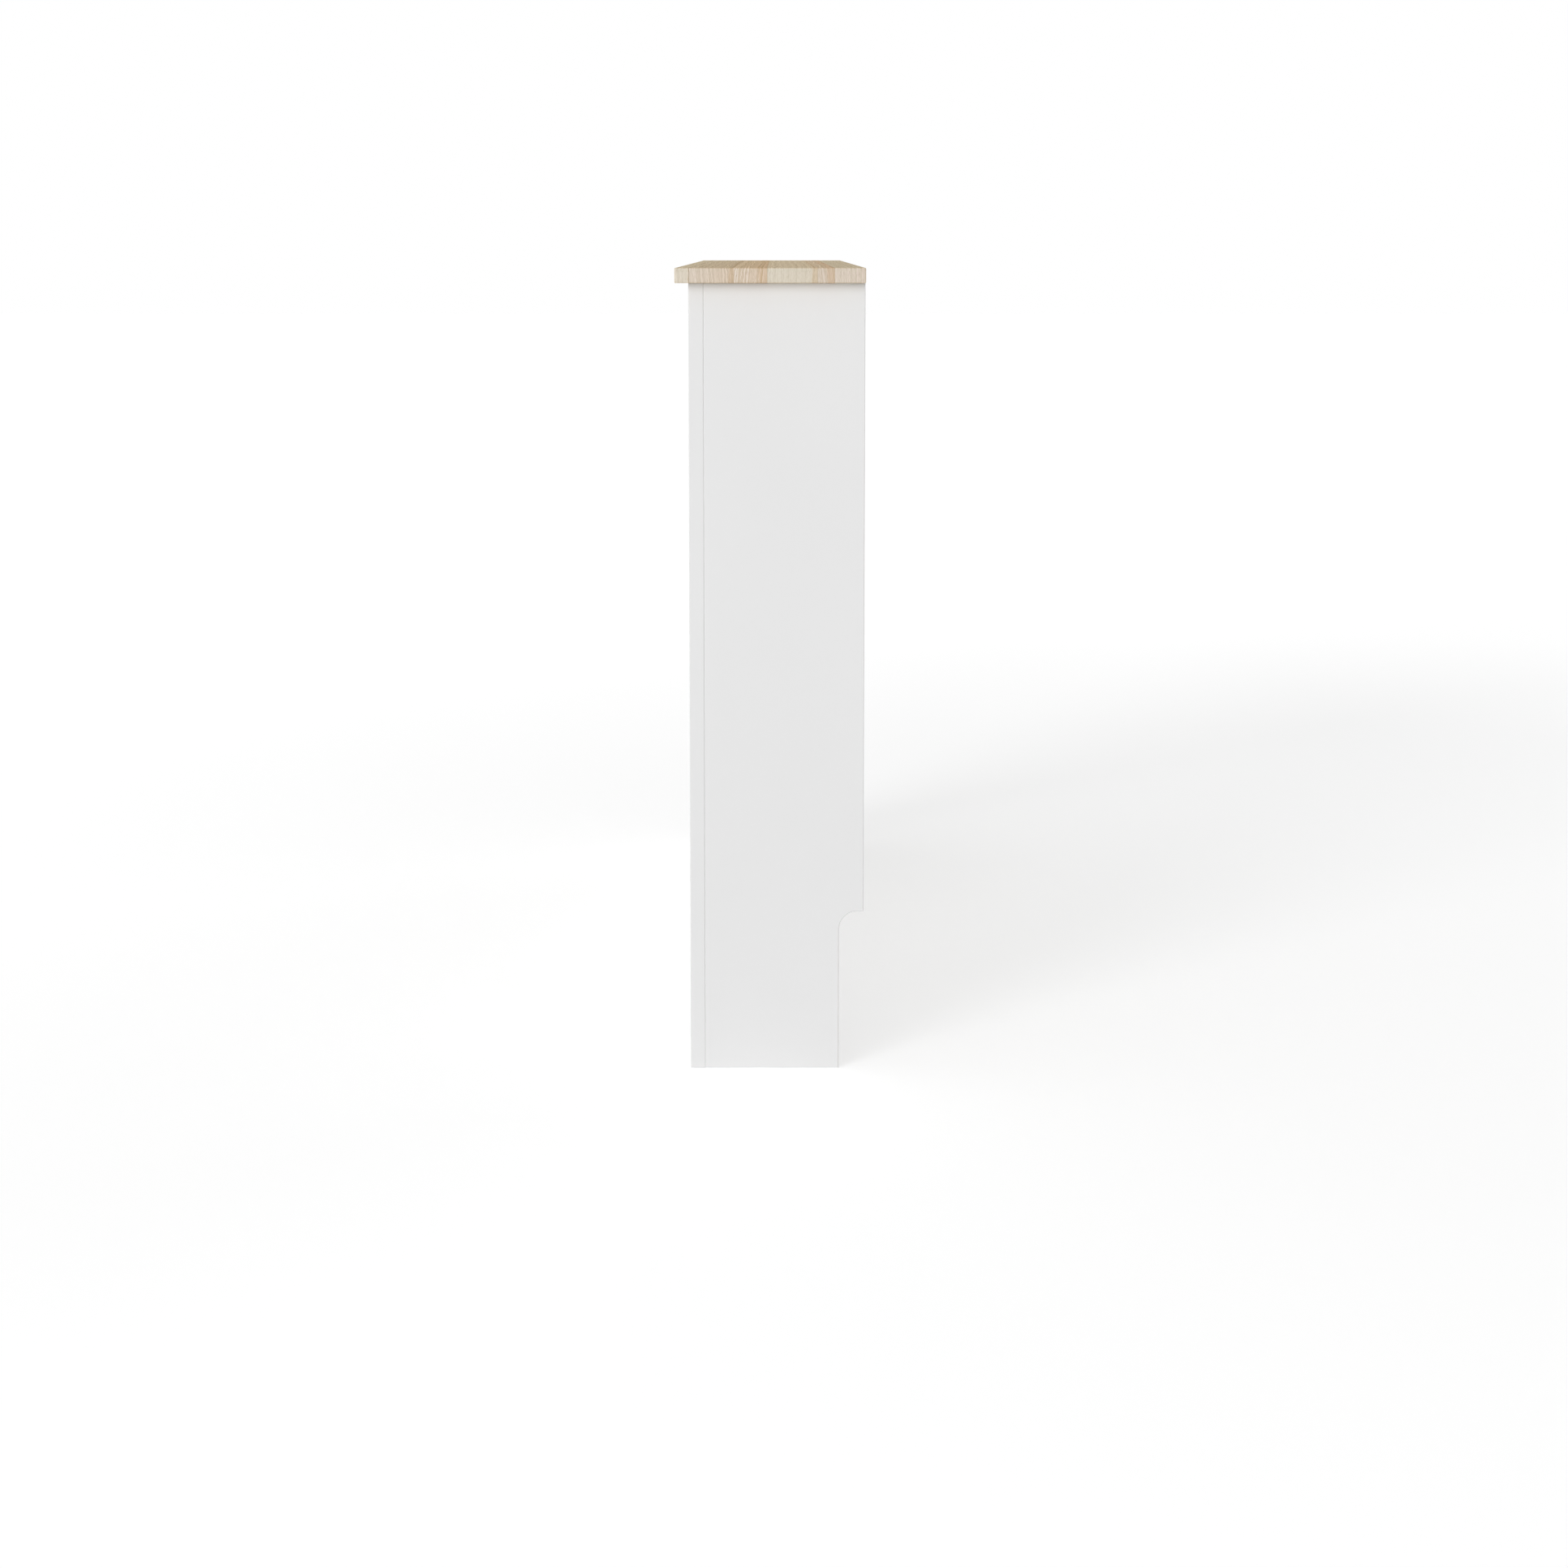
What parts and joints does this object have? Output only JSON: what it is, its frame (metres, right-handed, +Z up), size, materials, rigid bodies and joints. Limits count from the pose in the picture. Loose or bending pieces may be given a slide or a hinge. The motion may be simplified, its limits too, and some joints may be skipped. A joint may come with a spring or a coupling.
{
  "type": "radiator cover cabinet",
  "caption": "Free-standing cover for a wall radiator: painted sides and vertical slat front under an oak top, open at the back, feet notched for a skirting board.",
  "frame": {"origin": "on the floor, midway between the two ends and midway between the front edge of the top and the wall", "axes": "+X along the wall to the right as seen from the front, +Y from the front towards the wall, +Z up"},
  "size_m": [1.12, 0.19, 0.82],
  "materials": {
    "oak_board": "light oak staves, sanded and oiled matt",
    "white_painted_mdf": "white satin paint on fibreboard",
    "beech_dowel": "plain fluted beech",
    "zinc_cam": "bare die-cast zinc",
    "block_plastic": "moulded white plastic",
    "galvanised_sheet": "zinc plated sheet, satin",
    "plated_steel": "bright zinc plated steel"
  },
  "bodies": {
    "root": {"top_stave_1": "oak_board", "top_stave_2": "oak_board", "top_stave_3": "oak_board", "top_stave_4": "oak_board", "top_stave_5": "oak_board", "top_stave_6": "oak_board", "side_panel_left": "white_painted_mdf", "side_panel_right": "white_painted_mdf", "front_stile_left": "white_painted_mdf", "front_stile_right": "white_painted_mdf", "front_top_rail": "white_painted_mdf", "front_bottom_rail": "white_painted_mdf", "rear_rail": "white_painted_mdf", "slat_batten": "white_painted_mdf", "slat_01": "white_painted_mdf", "slat_02": "white_painted_mdf", "slat_03": "white_painted_mdf", "slat_04": "white_painted_mdf", "slat_05": "white_painted_mdf", "slat_06": "white_painted_mdf", "slat_07": "white_painted_mdf", "slat_08": "white_painted_mdf", "slat_09": "white_painted_mdf", "slat_10": "white_painted_mdf", "slat_11": "white_painted_mdf", "slat_12": "white_painted_mdf", "slat_13": "white_painted_mdf", "slat_14": "white_painted_mdf", "slat_15": "white_painted_mdf", "slat_16": "white_painted_mdf", "slat_17": "white_painted_mdf", "slat_18": "white_painted_mdf", "slat_19": "white_painted_mdf", "slat_20": "white_painted_mdf", "slat_21": "white_painted_mdf", "panel_dowels": "beech_dowel", "frame_dowels": "beech_dowel", "top_dowels": "beech_dowel", "cam_discs": "zinc_cam", "corner_blocks": "block_plastic", "wall_bracket_left": "galvanised_sheet", "wall_bracket_right": "galvanised_sheet", "cam_bolts": "plated_steel", "batten_screws": "plated_steel", "bracket_screws": "plated_steel", "block_screws": "plated_steel", "slat_brads": "plated_steel", "batten_brads": "plated_steel"}
  },
  "joints": []
}
